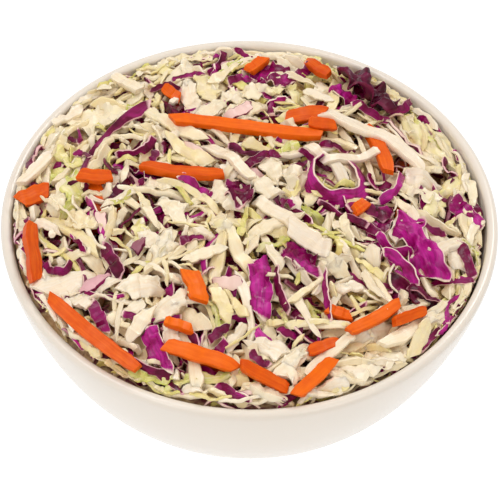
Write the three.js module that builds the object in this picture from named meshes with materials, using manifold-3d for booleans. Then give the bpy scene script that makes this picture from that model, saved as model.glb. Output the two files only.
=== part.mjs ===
// Coleslaw in its bowl: a round white china bowl, heaped with shredded cabbage and carrot sticks.
// Millimetres, +Z up. The origin is the middle of the foot ring's flat underside. Seen from the front,
// which is -Y, +X is to the right.
import * as THREE from "three";
import { mergeVertices } from "three/addons/utils/BufferGeometryUtils.js";
import Module from "manifold-3d";

// The bowl
const rimRadius = 90;
const rimHeight = 72;
const wallThickness = 4;
const lipRounding = wallThickness / 2;
const footRadius = 50;
const footRingWidth = 5;
const footRingHeight = 4;
const footRecess = 2.2;
const floorThickness = 6;
const wallSteps = 9;
const bowlSegments = 48;

// The heap as one mound: how far below the rim it meets the wall, and how far above the rim its middle is
const wallGap = 0.5;
const edgeDrop = 3.8;
const edgeDropVariation = 2.8;
const lowestEdgeAngle = THREE.MathUtils.degToRad(25);
const crownHeight = 8;
const shredDepth = 3.2; // the shreds lie this deep on the core
const coreSegments = 36;
const coreWallRows = 6;
const coreTopRows = 10;
const coreRoughness = 2.2;

// How much of its thickness a shred sinks into what it lies on, so that the heap is one solid
const sinkShare = 0.42;
const groundCell = 1;

const colours = { china: 0xece4da, slaw: 0xe6ddb4 };

// What the heap is made of. Lengths, widths and thicknesses are in millimetres, bends and rolls in degrees.
// A shred narrows towards its ends by its taper, and is split into steps along it and lanes across it.
const kinds = {
  carrot: { length: [22, 44], width: [4.6, 5.8], thick: [2.8, 3.4], bend: 6, roll: 9, taper: 0.1, steps: 2 },
  rib: { length: [14, 27], width: [5, 8], thick: [2.2, 3.2], bend: 34, roll: 30, taper: 0.4, steps: 2 },
  shred: { length: [18, 36], width: [3, 4.4], thick: [1.4, 1.9], bend: 70, roll: 40, taper: 0.5, steps: 3 },
  redShred: { length: [14, 30], width: [3, 5], thick: [1.3, 1.7], bend: 70, roll: 55, taper: 0.5, steps: 3 },
  leaf: { length: [13, 22], width: [9, 14], thick: [1.2, 1.6], bend: 20, roll: 22, taper: 0.12, steps: 3 },
};
const leafLanes = 2;
const leafRipple = 1.8;
const ringSteps = 9; // for a shred bent into a ring

// The pieces that stand out: [kind, x, y, turn, length, width, bend, roll], in millimetres and degrees.
// They lie on top, so they come after the scattered ones.
const standoutPieces = [
  ["carrot", -11, 33, -2, 60, 5.4, 6, 0],
  ["carrot", 30, 38, -12, 34, 6, 5, 6],
  ["carrot", -29, 11, -14, 36, 5.2, 8, 0],
  ["carrot", -57, 11, 3, 17, 6, 0, 8],
  ["carrot", -76, 4, 28, 17, 6, 0, 6],
  ["carrot", -77, -15, 76, 24, 5.6, 6, -8],
  ["carrot", 31, 75, -40, 22, 6, 0, -8],
  ["carrot", 48, 29, -74, 27, 6, -26, 0],
  ["carrot", -18, -40, -50, 17, 7, 0, 8],
  ["carrot", -57, -57, -43, 42, 5.4, 0, 10],
  ["carrot", -6, -67, -17, 46, 5.6, -6, 6],
  ["carrot", 36, -53, 33, 38, 5.2, 12, 0],
  ["carrot", 25, -71, 50, 24, 5.8, 8, 8],
  ["carrot", 57, -44, 40, 24, 5.4, 6, 4],
  ["leaf", 46, 66, -47, 27, 13, 20, -26],
  ["leaf", 58, -16, -55, 27, 15, 16, 14],
  ["leaf", -57, 46, -50, 24, 15, 18, -14],
  ["leaf", -62, -38, 36, 23, 14, 12, 10],
  ["leaf", 46, -66, 30, 29, 13, 22, -14],
  ["leaf", 7, 71, -25, 20, 11, 20, 16],
  ["redShred", 30, 4, -12, 42, 5, -215, 72],
  ["redShred", -53, 33, 55, 40, 3.8, -34, 24],
  ["redShred", 4, -39, -76, 24, 8, 8, 16],
  ["redShred", -29, -61, -64, 20, 7, 10, 20],
  ["redShred", -29, -69, -8, 30, 4.6, 42, 40],
  ["redShred", -47, -30, -60, 24, 4.4, -18, 30],
  ["redShred", 10, -44, -70, 20, 3.4, 46, 60],
  ["redShred", 82, 1, -60, 17, 5.6, 0, 8],
  ["redShred", 72, -31, 3, 18, 3.2, -20, 20],
  ["rib", 44, 38, -29, 42, 6.4, -22, 0],
  ["rib", 14, -10, -41, 38, 6.2, -26, 0],
  ["rib", 66, 31, -42, 30, 8.4, -10, 12],
  ["rib", 59, -49, 36, 29, 4.6, 10, 0],
  ["rib", -24, 23, -46, 27, 6, 40, 10],
  ["shred", 70, -35, 60, 34, 4, 42, 10],
  ["shred", -13, -74, 16, 30, 4.8, -12, 0],
  ["shred", 20, 29, 12, 31, 2.8, -60, 30],
  ["shred", 27, -62, 39, 20, 3.8, 14, 0],
];

// How many scattered pieces of each kind fill in between them, the largest first
const scatterCounts = { leaf: 14, carrot: 6, rib: 38, redShred: 15, shred: 13 };
const placesTried = 60;
const scatterRadius = 82;
const randomSeed = 20;

const wasm = await Module();
wasm.setup();

// A seeded random number from 0 to 1
function seeded(seed) {
  let state = seed;
  return () => {
    state = (state + 0x6d2b79f5) | 0;
    let mixed = Math.imul(state ^ (state >>> 15), 1 | state);
    mixed = (mixed + Math.imul(mixed ^ (mixed >>> 7), 61 | mixed)) ^ mixed;
    return ((mixed ^ (mixed >>> 14)) >>> 0) / 4294967296;
  };
}
const random = seeded(randomSeed);
const between = (low, high) => low + (high - low) * random();
const eitherWay = (most) => between(-most, most);

function solidOf(geometry) {
  const bare = geometry.clone();
  bare.deleteAttribute("normal");
  bare.deleteAttribute("uv");
  const merged = mergeVertices(bare, 1e-4);
  const vertProperties = new Float32Array(merged.attributes.position.array);
  const triVerts = new Uint32Array(merged.index.array);
  return new wasm.Manifold(new wasm.Mesh({ numProp: 3, vertProperties, triVerts }));
}

function geometryOf(solid) {
  const mesh = solid.getMesh();
  const geometry = new THREE.BufferGeometry();
  geometry.setAttribute("position", new THREE.BufferAttribute(new Float32Array(mesh.vertProperties), 3));
  geometry.setIndex(new THREE.BufferAttribute(new Uint32Array(mesh.triVerts), 1));
  return geometry;
}

// The bowl's section: x is the radius and y the height
const floorHeight = footRecess + floorThickness;

function outerWall() {
  return new THREE.CubicBezierCurve(
    new THREE.Vector2(footRadius, footRingHeight),
    new THREE.Vector2(footRadius + 30, footRingHeight),
    new THREE.Vector2(rimRadius, rimHeight - 7),
    new THREE.Vector2(rimRadius, rimHeight - lipRounding),
  );
}

function innerWall() {
  const innerRim = rimRadius - wallThickness;
  return new THREE.CubicBezierCurve(
    new THREE.Vector2(innerRim, rimHeight - lipRounding),
    new THREE.Vector2(innerRim, rimHeight - 9),
    new THREE.Vector2(footRadius + 26, floorHeight + 0.8),
    new THREE.Vector2(footRadius - 8, floorHeight),
  );
}

function bowlMesh() {
  const lipMiddle = rimRadius - lipRounding;
  const lipHeight = rimHeight - lipRounding;
  const lip = new THREE.EllipseCurve(lipMiddle, lipHeight, lipRounding, lipRounding, 0, Math.PI);
  const ringInside = footRadius - footRingWidth;
  const section = [
    new THREE.Vector2(0, footRecess),
    new THREE.Vector2(ringInside - 1, footRecess),
    new THREE.Vector2(ringInside, 0),
    new THREE.Vector2(footRadius - 0.8, 0),
    ...outerWall().getPoints(wallSteps),
    ...lip.getPoints(4).slice(1, -1),
    ...innerWall().getPoints(wallSteps),
    new THREE.Vector2(0, floorHeight),
  ];
  const geometry = new THREE.LatheGeometry(section, bowlSegments).rotateX(Math.PI / 2);
  const china = new THREE.MeshStandardMaterial({ color: colours.china, roughness: 0.3, metalness: 0 });
  const bowl = new THREE.Mesh(geometry, china);
  bowl.name = "bowl";
  return bowl;
}

// The wall's inner radius at a height, read off the section
const wallPoints = innerWall().getPoints(wallSteps);
function wallRadiusAt(z) {
  if (z >= wallPoints[0].y) return wallPoints[0].x;
  for (let i = 1; i < wallPoints.length; i++) {
    const [above, below] = [wallPoints[i - 1], wallPoints[i]];
    if (z >= below.y) {
      const share = (z - below.y) / Math.max(above.y - below.y, 1e-6);
      return below.x + share * (above.x - below.x);
    }
  }
  return wallPoints[wallPoints.length - 1].x;
}
const roomAt = (z) => wallRadiusAt(z) * Math.cos(Math.PI / bowlSegments) - wallGap;

// The heap's outline. At the wall its edge is lowest on the right and highest on the left.
const edgeHeight = (angle) => rimHeight - edgeDrop - edgeDropVariation * Math.cos(angle - lowestEdgeAngle);
const edgeRadius = (angle) => roomAt(edgeHeight(angle));

function heapHeight(x, y) {
  const angle = Math.atan2(y, x);
  const share = Math.min(Math.hypot(x, y) / edgeRadius(angle), 1);
  const edge = edgeHeight(angle);
  const lumps = 1.1 * Math.sin(x * 0.083 + 1.1) * Math.cos(y * 0.071) * (1 - share ** 4);
  return edge + (rimHeight + crownHeight - edge) * (1 - share ** 2) ** 0.8 + lumps;
}
// The core keeps to the wall at its edge, and lies a shred's depth below the heap's outline inside it
function coreHeight(x, y) {
  const share = Math.min(Math.hypot(x, y) / edgeRadius(Math.atan2(y, x)), 1);
  const inside = Math.min(1, (1 - share) * 9);
  const rough = coreRoughness * Math.sin(0.53 * x + 0.9) * Math.sin(0.47 * y + 0.4 * x);
  return heapHeight(x, y) - 0.8 - inside * (shredDepth - rough);
}

function coreSolid() {
  const wallRows = coreWallRows + 1;
  const rows = wallRows + coreTopRows + 1;
  const onAxis = (row) => row === 0 || row === rows - 1;
  const profile = Array.from({ length: rows }, (_, row) => new THREE.Vector2(onAxis(row) ? 0 : 1, row));
  const geometry = new THREE.LatheGeometry(profile, coreSegments).rotateX(Math.PI / 2);
  const position = geometry.getAttribute("position");
  const floor = floorHeight + wallGap;
  for (let i = 0; i < position.count; i++) {
    const row = i % rows;
    const angle = ((Math.floor(i / rows) % coreSegments) / coreSegments) * 2 * Math.PI;
    const edge = edgeHeight(angle) - 0.8;
    let radius = 0;
    let z = floor;
    if (row > 0 && row <= wallRows) {
      const share = ((row - 1) / coreWallRows) ** 1.6;
      z = floor + share * (edge - floor);
      radius = roomAt(z) - (row === 1 ? 2 : 0);
    } else if (row > wallRows) {
      radius = roomAt(edge) * (1 - (row - wallRows) / coreTopRows);
    }
    const x = radius * Math.sin(angle);
    const y = -radius * Math.cos(angle);
    if (row > wallRows) z = coreHeight(x, y);
    position.setXYZ(i, x, y, z);
  }
  return solidOf(geometry);
}

// The ground that the next shred lies on: how high the heap already is, on a square grid
const groundSide = 2 * Math.ceil(rimRadius / groundCell) + 1;
const ground = new Float32Array(groundSide * groundSide);
const cellOf = (x, y) => {
  const column = Math.round((x + rimRadius) / groundCell);
  const row = Math.round((y + rimRadius) / groundCell);
  const inside = column >= 0 && row >= 0 && column < groundSide && row < groundSide;
  return inside ? row * groundSide + column : -1;
};
for (let cell = 0; cell < ground.length; cell++) {
  const x = (cell % groundSide) * groundCell - rimRadius;
  const y = Math.floor(cell / groundSide) * groundCell - rimRadius;
  ground[cell] = coreHeight(x, y);
}

function groundAt(x, y) {
  const cell = cellOf(x, y);
  return cell < 0 ? 0 : ground[cell];
}

function raiseGround(x, y, z) {
  const cell = cellOf(x, y);
  if (cell >= 0) ground[cell] = Math.max(ground[cell], z);
}

// A closed sheet, with both faces split into triangles alike. pointAt(u, v, side) gives a corner.
function sheetSolid(steps, lanes, pointAt) {
  const sheet = new THREE.PlaneGeometry(1, 1, steps, lanes);
  const grid = sheet.getAttribute("position");
  const count = grid.count;
  const corners = [];
  for (const side of [1, -1])
    for (let i = 0; i < count; i++) corners.push(...pointAt(grid.getX(i), grid.getY(i), side));
  const faces = [];
  for (let i = 0; i < sheet.index.count; i += 3) {
    const [a, b, c] = [0, 1, 2].map((k) => sheet.index.getX(i + k));
    faces.push(a, b, c, count + a, count + c, count + b);
  }
  const at = (column, row) => row * (steps + 1) + column;
  const rim = [];
  for (let i = 0; i < steps; i++) rim.push(at(i, lanes));
  for (let j = lanes; j > 0; j--) rim.push(at(steps, j));
  for (let i = steps; i > 0; i--) rim.push(at(i, 0));
  for (let j = 0; j < lanes; j++) rim.push(at(0, j));
  rim.forEach((a, i) => {
    const b = rim[(i + 1) % rim.length];
    faces.push(b, a, count + a, b, count + a, count + b);
  });
  const geometry = new THREE.BufferGeometry();
  geometry.setAttribute("position", new THREE.BufferAttribute(new Float32Array(corners), 3));
  geometry.setIndex(faces);
  return geometry;
}

// The shred's middle line seen from above: an arc through (x, y)
function planArc({ x, y, turn, length, bend, steps }) {
  const arm = length / (Math.abs(bend) < 1e-3 ? 1e-3 : bend);
  const turned = length / arm;
  return Array.from({ length: steps + 1 }, (_, i) => {
    const heading = turn + turned * (i / steps - 0.5);
    const alongX = arm * (Math.sin(heading) - Math.sin(turn));
    const alongY = arm * (Math.cos(turn) - Math.cos(heading));
    return [x + alongX, y + alongY, heading];
  });
}

// The heights under the middle line: straight under a carrot stick, along the ground under a limp shred
const steepest = 5;
function supportOf(arc, piece) {
  const half = piece.width / 2;
  const found = arc.map(([x, y, heading]) => {
    const [sx, sy] = [-Math.sin(heading) * half * 0.8, Math.cos(heading) * half * 0.8];
    return Math.max(groundAt(x, y), groundAt(x + sx, y + sy), groundAt(x - sx, y - sy));
  });
  const last = found.length - 1;
  if (piece.kind === "carrot") {
    const slope = THREE.MathUtils.clamp((found[last] - found[0]) / last, -steepest, steepest);
    const start = Math.max(...found.map((z, i) => z - slope * i));
    return found.map((_, i) => start + slope * i);
  }
  return found.map((z, i) => Math.max(z, (found[Math.max(i - 1, 0)] + z + found[Math.min(i + 1, last)]) / 3));
}

// The shred's corners for a place. wallClear is how far every corner is inside the bowl's wall, at the least.
function shapeShred(piece) {
  const isLeaf = piece.kind === "leaf";
  const ripple = isLeaf ? leafRipple : 0;
  const arc = planArc(piece);
  const support = supportOf(arc, piece);
  const lift = (Math.abs(Math.sin(piece.roll)) * piece.width) / 2 + (Math.cos(piece.roll) * piece.thick) / 2;
  const middle = arc.map(([x, y], i) => new THREE.Vector3(x, y, support[i] + lift - sinkShare * piece.thick));
  const last = middle.length - 1;
  const frames = middle.map((_, i) => {
    const along = middle[Math.min(i + 1, last)].clone().sub(middle[Math.max(i - 1, 0)]).normalize();
    const across = new THREE.Vector3(0, 0, 1).cross(along).normalize();
    const up = along.clone().cross(across);
    const roll = piece.roll + piece.twist * (i / last - 0.5);
    return {
      across: across.clone().multiplyScalar(Math.cos(roll)).addScaledVector(up, Math.sin(roll)),
      up: up.multiplyScalar(Math.cos(roll)).addScaledVector(across, -Math.sin(roll)),
    };
  });
  const pointAt = (u, v, side) => {
    const i = Math.round((u + 0.5) * last);
    const width = piece.width * (1 - piece.taper * Math.abs(2 * u) ** 3);
    const wave = ripple * Math.sin(2 * Math.PI * (1.6 * u + piece.phase)) * (0.5 + Math.abs(v));
    const point = middle[i].clone().addScaledVector(frames[i].across, v * width);
    return point.addScaledVector(frames[i].up, (side * piece.thick) / 2 + wave).toArray();
  };
  const geometry = sheetSolid(piece.steps, isLeaf ? leafLanes : 1, pointAt);
  const position = geometry.getAttribute("position");
  let wallClear = Infinity;
  for (let i = 0; i < position.count; i++) {
    const radius = Math.hypot(position.getX(i), position.getY(i));
    wallClear = Math.min(wallClear, roomAt(position.getZ(i)) - radius);
  }
  return { geometry, wallClear, pointAt };
}

// Raises the ground under the shred's upper face
function pressInto(piece, pointAt) {
  const across = Math.ceil(piece.width / groundCell);
  const along = Math.ceil(piece.length / piece.steps / groundCell);
  for (let i = 0; i < piece.steps; i++)
    for (let j = 0; j <= along; j++)
      for (let k = 0; k <= across; k++) {
        const v = k / across - 0.5;
        const start = new THREE.Vector3(...pointAt(i / piece.steps - 0.5, v, 1));
        const end = new THREE.Vector3(...pointAt((i + 1) / piece.steps - 0.5, v, 1));
        const spot = start.lerp(end, j / along);
        raiseGround(spot.x, spot.y, spot.z);
      }
}

// Lays a shred down, moved in from the wall as far as it needs. It is left out where there is no room for it.
function layShred(wanted) {
  const piece = { phase: random(), ...wanted };
  for (let tries = 0; tries < 5; tries++) {
    const { geometry, wallClear, pointAt } = shapeShred(piece);
    if (wallClear >= 0) {
      pressInto(piece, pointAt);
      return solidOf(geometry);
    }
    const radius = Math.hypot(piece.x, piece.y);
    const inwards = 1 - (0.4 - wallClear) / radius;
    piece.x *= inwards;
    piece.y *= inwards;
  }
  return null;
}

const radians = THREE.MathUtils.degToRad;

// How far the ground round a place lies below the heap's outline
function lackAt(x, y) {
  const around = [[0, 0], [3, 3], [3, -3], [-3, 3], [-3, -3]];
  return around.reduce((sum, [dx, dy]) => sum + heapHeight(x + dx, y + dy) - groundAt(x + dx, y + dy), 0);
}

function scatteredShred(name) {
  const kind = kinds[name];
  let best = null;
  for (let i = 0; i < placesTried; i++) {
    const radius = scatterRadius * Math.sqrt(random());
    const angle = between(0, 2 * Math.PI);
    const [x, y] = [radius * Math.cos(angle), radius * Math.sin(angle)];
    const lack = lackAt(x, y);
    if (!best || lack > best.lack) best = { x, y, lack, angle, radius };
  }
  // Near the wall a shred lies along it
  const alongWall = best.radius > 0.82 * scatterRadius;
  const turn = alongWall ? best.angle + Math.PI / 2 + eitherWay(0.4) : between(0, Math.PI);
  return layShred({
    ...kind,
    kind: name,
    x: best.x,
    y: best.y,
    turn,
    length: between(...kind.length),
    width: between(...kind.width),
    thick: between(...kind.thick),
    bend: radians(eitherWay(kind.bend)),
    roll: radians(eitherWay(kind.roll)),
    twist: radians(eitherWay(kind.roll)),
  });
}

function standoutShred([name, x, y, turn, length, width, bend, roll]) {
  const kind = kinds[name];
  return layShred({
    kind: name,
    x,
    y,
    turn: radians(turn),
    length,
    width,
    thick: (kind.thick[0] + kind.thick[1]) / 2,
    bend: radians(bend),
    roll: radians(roll),
    twist: 0,
    taper: kind.taper,
    steps: Math.abs(bend) > 120 ? ringSteps : kind.steps,
  });
}

// The outer skin alone: it fills what the joined shreds close in, and drops what touches nothing
function outerSkin(solid) {
  const pieces = solid.decompose();
  return pieces.reduce((largest, piece) => (piece.volume() > largest.volume() ? piece : largest));
}

function slawMesh() {
  let heap = coreSolid();
  const join = (shred) => {
    if (shred) heap = heap.add(shred);
  };
  for (const [name, count] of Object.entries(scatterCounts))
    for (let i = 0; i < count; i++) join(scatteredShred(name));
  standoutPieces.forEach((piece) => join(standoutShred(piece)));
  const material = new THREE.MeshStandardMaterial({ color: colours.slaw, roughness: 0.55, metalness: 0 });
  const slaw = new THREE.Mesh(geometryOf(outerSkin(heap)), material);
  slaw.name = "coleslaw";
  return slaw;
}

const coleslaw = new THREE.Group();
coleslaw.add(bowlMesh(), slawMesh());

export default coleslaw;
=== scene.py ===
import math

import bpy
import numpy as np
from mathutils import Matrix, Vector


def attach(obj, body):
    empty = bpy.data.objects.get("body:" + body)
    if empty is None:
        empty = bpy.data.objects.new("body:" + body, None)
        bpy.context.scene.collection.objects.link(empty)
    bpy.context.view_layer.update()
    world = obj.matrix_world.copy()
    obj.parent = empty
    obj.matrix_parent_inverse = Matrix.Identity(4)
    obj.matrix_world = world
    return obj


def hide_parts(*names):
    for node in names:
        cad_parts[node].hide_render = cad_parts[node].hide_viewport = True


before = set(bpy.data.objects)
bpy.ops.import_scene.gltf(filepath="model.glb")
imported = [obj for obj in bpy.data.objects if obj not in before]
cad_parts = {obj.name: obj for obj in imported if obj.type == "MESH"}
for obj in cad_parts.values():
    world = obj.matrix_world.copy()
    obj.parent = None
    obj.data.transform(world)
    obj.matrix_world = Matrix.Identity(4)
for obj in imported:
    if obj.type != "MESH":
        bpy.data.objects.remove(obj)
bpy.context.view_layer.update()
scene = bpy.context.scene
mm = 0.001  # all the shapes below are worked out in millimetres

# Small helpers for materials and objects


def newMaterial(name):
    material = bpy.data.materials.new(name)
    material.use_nodes = True
    tree = material.node_tree
    shader = tree.nodes["Principled BSDF"]
    return material, tree, shader


def feed(tree, node, values):
    # numbers, or what other nodes put out, into a node's inputs
    for socket, value in values.items():
        if isinstance(value, bpy.types.NodeSocket):
            tree.links.new(value, node.inputs[socket])
        else:
            node.inputs[socket].default_value = value


def addNode(tree, kind, values=None, **settings):
    node = tree.nodes.new(kind)
    for key, value in settings.items():
        setattr(node, key, value)
    feed(tree, node, values or {})
    return node


def colourRamp(tree, stops, factor):
    ramp = addNode(tree, "ShaderNodeValToRGB")
    elements = ramp.color_ramp.elements
    while len(elements) < len(stops):
        elements.new(0.5)
    for element, (position, colour) in zip(elements, stops):
        element.position = position
        element.color = (*linear(colour), 1)
    tree.links.new(factor, ramp.inputs["Fac"])
    return ramp.outputs["Color"]


def mixColour(tree, factor, first, second, blend="MIX"):
    mix = addNode(tree, "ShaderNodeMix", data_type="RGBA", blend_type=blend)
    for name, value in (("Factor", factor), ("A", first), ("B", second)):
        index = [i for i, socket in enumerate(mix.inputs) if socket.name == name and socket.enabled][0]
        feed(tree, mix, {index: (*linear(value), 1) if isinstance(value, tuple) else value})
    return [socket for socket in mix.outputs if socket.enabled][0]


def calculate(tree, operation, first, second):
    return addNode(tree, "ShaderNodeMath", {0: first, 1: second}, operation=operation).outputs[0]


def mapRange(tree, value, before, after):
    values = {"Value": value, "From Min": before[0], "From Max": before[1], "To Min": after[0],
        "To Max": after[1]}
    return addNode(tree, "ShaderNodeMapRange", values).outputs["Result"]


def newObject(name, data):
    thing = bpy.data.objects.new(name, data)
    scene.collection.objects.link(thing)
    return thing


def smoothObject(name, points, faces):
    mesh = bpy.data.meshes.new(name)
    mesh.from_pydata((points * mm).tolist(), [], faces)
    mesh.shade_smooth()
    return newObject(name, mesh)


def linear(colour):
    # 0-255 screen colours to the renderer's linear ones
    return [((c / 255 + 0.055) / 1.055) ** 2.4 if c > 10 else c / 255 / 12.92 for c in colour]


# The bowl

bowlSizes = {
    "rimRadius": 90,
    "rimHeight": 72,
    "wall": 4,
    "footRadius": 50,
    "footRingWidth": 5,
    "footRingHeight": 4,
    "footRecess": 2.2,
    "floor": 6,
    "turns": 192,
    "wallPoints": 48,
}


def bezier(points, count):
    t = np.linspace(0, 1, count)[:, None]
    a, b, c, d = np.array(points, float)
    return (1 - t) ** 3 * a + 3 * (1 - t) ** 2 * t * b + 3 * (1 - t) * t**2 * c + t**3 * d


def arc(centre, radius, start, end, count):
    angles = np.radians(np.linspace(start, end, count))
    return np.array(centre) + radius * np.stack([np.cos(angles), np.sin(angles)], -1)


def outerWall(s=bowlSizes):
    foot, rim, lip = s["footRadius"], s["rimRadius"], s["wall"] / 2
    height = s["footRingHeight"]
    return bezier([(foot, height), (foot + 30, height), (rim, s["rimHeight"] - 7),
        (rim, s["rimHeight"] - lip)], s["wallPoints"])


def innerWall(s=bowlSizes):
    inner, floor = s["rimRadius"] - s["wall"], s["footRecess"] + s["floor"]
    top = s["rimHeight"] - s["wall"] / 2
    return bezier([(inner, top), (inner, s["rimHeight"] - 9), (s["footRadius"] + 26, floor + 0.8),
        (s["footRadius"] - 8, floor)], s["wallPoints"])


def makeBowl(s=bowlSizes):
    lip = s["wall"] / 2
    ringInside = s["footRadius"] - s["footRingWidth"]
    section = np.concatenate([
        [(0, s["footRecess"]), (ringInside - 2.2, s["footRecess"])],
        arc((ringInside - 1.5, s["footRecess"] - 0.7), 0.7, 90, 0, 5),
        arc((ringInside + 0.2, 0.9), 0.9, 180, 270, 6),
        arc((s["footRadius"] - 1.1, 0.9), 0.9, 270, 350, 6),
        [(s["footRadius"] - 0.1, s["footRingHeight"] - 0.8)],
        outerWall()[1:-1],
        arc((s["rimRadius"] - lip, s["rimHeight"] - lip), lip, 0, 180, 16),
        innerWall()[1:],
        [(30, s["footRecess"] + s["floor"]), (0, s["footRecess"] + s["floor"])],
    ])
    turns = s["turns"]
    angles = np.arange(turns) * 2 * math.pi / turns
    ring = section[1:-1]
    points = np.stack([
        ring[None, :, 0] * np.cos(angles)[:, None],
        ring[None, :, 0] * np.sin(angles)[:, None],
        np.broadcast_to(ring[None, :, 1], (turns, len(ring))),
    ], -1).reshape(-1, 3)
    count = len(ring)
    bottom, top = len(points), len(points) + 1
    points = np.concatenate([points, [(0, 0, section[0, 1]), (0, 0, section[-1, 1])]])
    faces = []
    for i in range(turns):
        a, b = i * count, ((i + 1) % turns) * count
        faces += [(a + j, b + j, b + j + 1, a + j + 1) for j in range(count - 1)]
        faces += [(bottom, b, a), (top, a + count - 1, b + count - 1)]
    return smoothObject("chinaBowl", points, faces)


glazeLook = {
    "colour": (231, 224, 215),
    "warmPatches": (228, 220, 208),
    "roughness": (0.16, 0.26),
    "waviness": 0.05,
}


def glazeMaterial(look=glazeLook):
    material, tree, shader = newMaterial("glazedChina")
    place = addNode(tree, "ShaderNodeTexCoord").outputs["Object"]
    patches = addNode(tree, "ShaderNodeTexNoise", {"Vector": place, "Scale": 14.0, "Detail": 3.0})
    patches = patches.outputs["Fac"]
    ripples = addNode(tree, "ShaderNodeTexNoise", {"Vector": place, "Scale": 60.0, "Detail": 1.0})
    bump = addNode(tree, "ShaderNodeBump",
        {"Height": ripples.outputs["Fac"], "Strength": look["waviness"], "Distance": 0.001})
    feed(tree, shader, {
        "Base Color": mixColour(tree, patches, look["colour"], look["warmPatches"]),
        "Roughness": mapRange(tree, patches, (0, 1), look["roughness"]),
        "Normal": bump.outputs["Normal"],
        "IOR": 1.5,
        "Subsurface Weight": 0.05,
        "Subsurface Radius": (0.003, 0.002, 0.0015),
    })
    return material


bowl = makeBowl()
bowl.data.materials.append(glazeMaterial())
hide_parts("bowl")
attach(bowl, "root")
print("bowl: turned and glazed")

# The heap's form and the ground that the shreds lie on

heapSizes = {
    "edgeDrop": 3.8,  # how far below the rim the heap meets the wall
    "edgeDropVariation": 2.8,
    "lowestEdge": 25,  # degrees: the edge is lowest on the right
    "crown": 8,  # how far the middle stands above the rim
    "shredDepth": 9,  # how deep the loose shreds lie on the core
    "wallGap": 0.35,
    "cell": 0.5,
    "seed": 11,
    "coreTurns": 144,
    "coreRings": 40,
    "coreSideRings": 18,
    "coreEdgeDrop": 4,
}
rng = np.random.default_rng(heapSizes["seed"])
wallCurve = innerWall()[::-1]


def roomAt(z):
    # how far out a piece may reach at a height
    return np.interp(z, wallCurve[:, 1], wallCurve[:, 0]) - heapSizes["wallGap"]


def edgeHeight(angle, h=heapSizes):
    lowest = math.radians(h["lowestEdge"])
    return bowlSizes["rimHeight"] - h["edgeDrop"] - h["edgeDropVariation"] * np.cos(angle - lowest)


def heapHeight(x, y):
    angle = np.arctan2(y, x)
    edge = edgeHeight(angle)
    share = np.clip(np.hypot(x, y) / roomAt(edge), 0, 1)
    lumps = 1.1 * np.sin(x * 0.083 + 1.1) * np.cos(y * 0.071) * (1 - share**4)
    crown = bowlSizes["rimHeight"] + heapSizes["crown"]
    return edge + (crown - edge) * (1 - share**2) ** 0.8 + lumps


def coreHeight(x, y):
    share = np.clip(np.hypot(x, y) / 84, 0, 1)
    rough = 0.9 * np.sin(0.33 * x + 0.9) * np.sin(0.29 * y + 0.2 * x)
    return heapHeight(x, y) - heapSizes["shredDepth"] * np.clip((1 - share) * 7 + 0.3, 0, 1) + rough


reach = bowlSizes["rimRadius"]
side = int(2 * reach / heapSizes["cell"]) + 1
gridX, gridY = np.meshgrid(np.linspace(-reach, reach, side), np.linspace(-reach, reach, side))
ground = coreHeight(gridX, gridY)
outline = heapHeight(gridX, gridY)
wallMark = 150  # a cell higher than this is the bowl's wall
ground[np.hypot(gridX, gridY) > 85.5] = wallMark + 50
standing = np.zeros_like(ground)  # where a piece that stands out is seen


def cells(x, y):
    columns = np.clip(np.rint((x + reach) / heapSizes["cell"]).astype(int), 0, side - 1)
    rows = np.clip(np.rint((y + reach) / heapSizes["cell"]).astype(int), 0, side - 1)
    return rows, columns


def groundAt(x, y):
    height = ground[cells(x, y)]
    return np.where(height > wallMark, heapHeight(x, y) - 1, height)


def makeCore():
    # a closed lumpy mound under the shreds: its top follows the ground, its underside the bowl
    turns, rings = heapSizes["coreTurns"], heapSizes["coreRings"]
    angles = np.arange(turns) * 2 * math.pi / turns
    floor = bowlSizes["footRecess"] + bowlSizes["floor"] + 0.5
    rows = []
    edge = edgeHeight(angles) - heapSizes["coreEdgeDrop"]
    for share in np.linspace(0, 1, heapSizes["coreSideRings"]):
        z = floor + share**1.5 * (edge - floor)
        rows.append(np.stack([roomAt(z) * np.cos(angles), roomAt(z) * np.sin(angles), z], -1))
    for share in np.linspace(1, 0, rings)[1:-1]:
        radius = roomAt(edge) * share
        x, y = radius * np.cos(angles), radius * np.sin(angles)
        rows.append(np.stack([x, y, coreHeight(x, y)], -1))
    points = np.concatenate(rows)
    bottom, top = len(points), len(points) + 1
    points = np.concatenate([points, [(0, 0, floor), (0, 0, float(coreHeight(0.0, 0.0)))]])
    faces = []
    for row in range(len(rows) - 1):
        for i in range(turns):
            j = (i + 1) % turns
            faces.append((row * turns + i, row * turns + j, (row + 1) * turns + j, (row + 1) * turns + i))
    last = (len(rows) - 1) * turns
    for i in range(turns):
        j = (i + 1) % turns
        faces += [(bottom, j, i), (top, last + i, last + j)]
    return smoothObject("slawCore", points, faces)


# The shreds

# Sections: places across the shred, from edge to edge, with the share of its thickness there
boxSection = [(-0.5, 0.80), (-0.45, 1.0), (0.45, 1.0), (0.5, 0.80)]
ribSection = [(-0.5, 0.62), (-0.44, 1.0), (-0.14, 1.04), (0.06, 0.86), (0.42, 0.98), (0.5, 0.55)]
slabSection = [(-0.5, 0.5), (-0.46, 0.85), (-0.3, 0.95), (-0.1, 1.1), (0.1, 0.9), (0.3, 1.0), (0.46, 0.8),
    (0.5, 0.45)]
stripSection = [(-0.5, 0.6), (-0.45, 0.95), (-0.15, 1.0), (0.15, 1.0), (0.45, 0.95), (0.5, 0.6)]
leafSection = [(-0.5, 0.5), (-0.46, 0.8), (-0.32, 0.9), (-0.16, 0.9), (0.0, 1.6), (0.16, 0.9), (0.32, 0.9),
    (0.46, 0.8), (0.5, 0.5)]
frillSection = [(round(-0.5 + i / 14, 3), 0.6 + 0.4 * (0 < i < 14)) for i in range(15)]

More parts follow.
